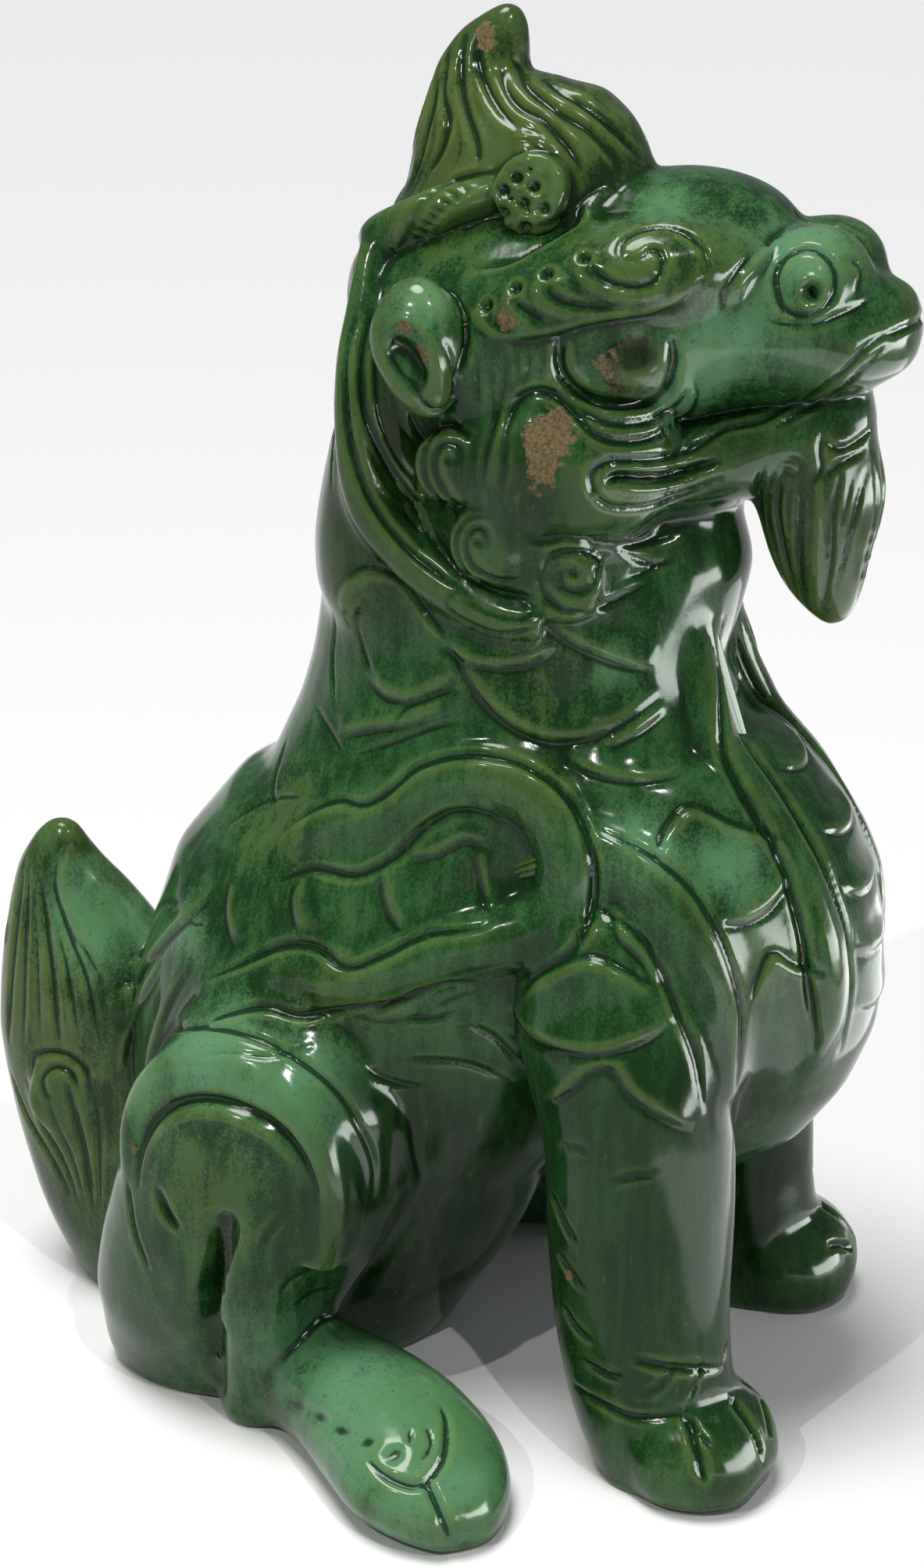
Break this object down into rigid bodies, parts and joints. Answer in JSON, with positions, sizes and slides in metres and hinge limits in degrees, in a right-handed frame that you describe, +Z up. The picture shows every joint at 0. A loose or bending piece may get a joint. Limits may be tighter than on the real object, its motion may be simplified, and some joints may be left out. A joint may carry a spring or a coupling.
{
  "type": "seated guardian lion statue",
  "caption": "Seated foo dog guardian statue in green-glazed stoneware, head raised, with flame crest, curled mane, goatee, scroll bands and an upright tail.",
  "frame": {"origin": "middle of the statue's footprint, on the surface it stands on", "axes": "+Z up, the lion looks along -Y, +X to the lion's left"},
  "size_m": [0.306, 0.3519, 0.5012],
  "materials": {
    "glaze": "gloss",
    "dark_glaze": "gloss",
    "thin_glaze": "gloss"
  },
  "bodies": {
    "root": {"lower_body": "glaze", "upper_body": "glaze", "neck": "glaze", "mane": "dark_glaze", "skull": "glaze", "lower_jaw": "glaze", "beard": "dark_glaze", "nose": "glaze", "crest": "dark_glaze", "tail": "dark_glaze", "foreleg_left": "glaze", "foreleg_right": "glaze", "forepaw_left": "glaze", "forepaw_right": "glaze", "haunch_left": "glaze", "haunch_right": "glaze", "shank_left": "glaze", "shank_right": "glaze", "hind_paw_left": "glaze", "hind_paw_right": "glaze", "haunch_scroll_left": "glaze", "haunch_scroll_right": "glaze", "flank_ribbon_left": "glaze", "flank_ribbon_right": "glaze", "shoulder_ribbon_left": "glaze", "shoulder_ribbon_right": "glaze", "breast_band_left": "glaze", "breast_band_right": "glaze", "brow_left": "glaze", "brow_right": "glaze", "cheek_left": "glaze", "cheek_right": "glaze", "eye_left": "thin_glaze", "eye_right": "thin_glaze", "nostril_left": "glaze", "nostril_right": "glaze", "ear_left": "glaze", "ear_right": "glaze", "boss_left": "glaze", "boss_right": "glaze", "tuft_left": "glaze", "tuft_right": "glaze", "mane_rope_left": "glaze", "mane_rope_right": "glaze", "mane_curls_left": "glaze", "mane_curls_right": "glaze", "tail_curl_left": "glaze", "tail_curl_right": "glaze"}
  },
  "joints": []
}
